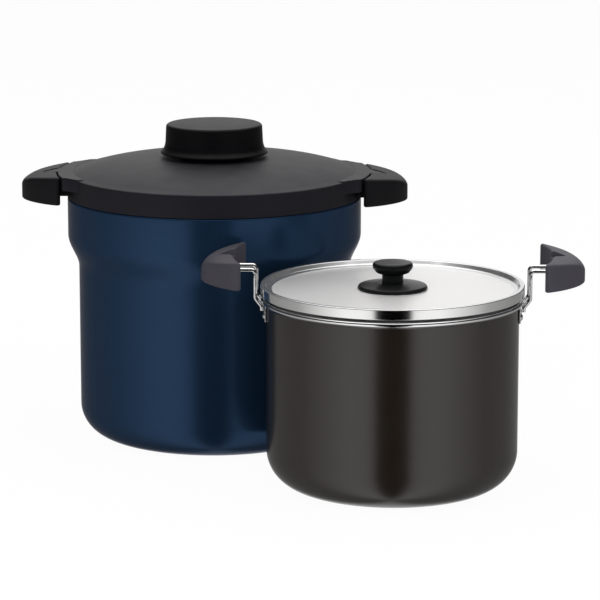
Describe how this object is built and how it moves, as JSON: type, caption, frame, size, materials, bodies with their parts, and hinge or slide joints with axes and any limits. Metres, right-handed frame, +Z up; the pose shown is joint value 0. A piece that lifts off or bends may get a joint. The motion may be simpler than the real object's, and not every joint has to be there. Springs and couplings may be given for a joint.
{
  "type": "thermal cooker",
  "caption": "Vacuum-insulated cooking vessel with side handles and an insulated lid, and its lidded stockpot with wire-mounted grips standing beside it.",
  "frame": {"origin": "middle of the set's outline, on the surface that it stands on", "axes": "+X along the side handles, to the pot's side; +Y from the pot towards the vessel; +Z up"},
  "size_m": [0.4684, 0.4066, 0.2662],
  "materials": {
    "navy_paint": "metallic satin paint",
    "liner_steel": "brushed",
    "getter_alloy": "matte",
    "zinc_steel": "zinc plated",
    "black_resin": "fine matte grain",
    "insulation_foam": "open foam",
    "brown_coating": "glossy dark coating",
    "bright_steel": "polished",
    "grey_resin": "fine matte grain",
    "polished_steel": "mirror polished"
  },
  "bodies": {
    "vessel": {"outer_shell": "navy_paint", "inner_liner": "liner_steel", "vacuum_getter": "getter_alloy", "evacuation_seal": "zinc_steel", "mouth_collar": "black_resin", "vessel_handle_left": "black_resin", "vessel_handle_right": "black_resin", "vessel_handle_screw_1": "zinc_steel", "vessel_handle_screw_2": "zinc_steel", "vessel_handle_screw_3": "zinc_steel", "vessel_handle_screw_4": "zinc_steel"},
    "vessel_lid": {"lid_top_cover": "black_resin", "lid_under_cover": "black_resin", "lid_insulation": "insulation_foam", "lid_knob": "black_resin", "lid_knob_screw_1": "zinc_steel", "lid_knob_screw_2": "zinc_steel", "lid_knob_screw_3": "zinc_steel"},
    "pot": {"pot_body": "brown_coating", "pot_bracket_left": "bright_steel", "pot_bracket_right": "bright_steel", "pot_rivet_1": "bright_steel", "pot_rivet_2": "bright_steel", "pot_rivet_3": "bright_steel", "pot_rivet_4": "bright_steel", "pot_wire_left": "bright_steel", "pot_wire_right": "bright_steel", "pot_grip_left": "grey_resin", "pot_grip_right": "grey_resin"},
    "pot_lid": {"pot_lid_panel": "polished_steel", "pot_knob_base": "black_resin", "pot_knob_head": "black_resin", "pot_knob_screw": "zinc_steel", "pot_knob_washer": "zinc_steel"}
  },
  "joints": [
    {"name": "vessel_lid_lift", "type": "slide", "parent": "vessel", "child": "vessel_lid", "axis": [0, 0, 1], "range_m": [0, 0.12]},
    {"name": "pot_lift", "type": "slide", "parent": "vessel", "child": "pot", "axis": [0, 0, 1], "range_m": [0, 0.24]},
    {"name": "pot_lid_lift", "type": "slide", "parent": "pot", "child": "pot_lid", "axis": [0, 0, 1], "range_m": [0, 0.08]}
  ]
}
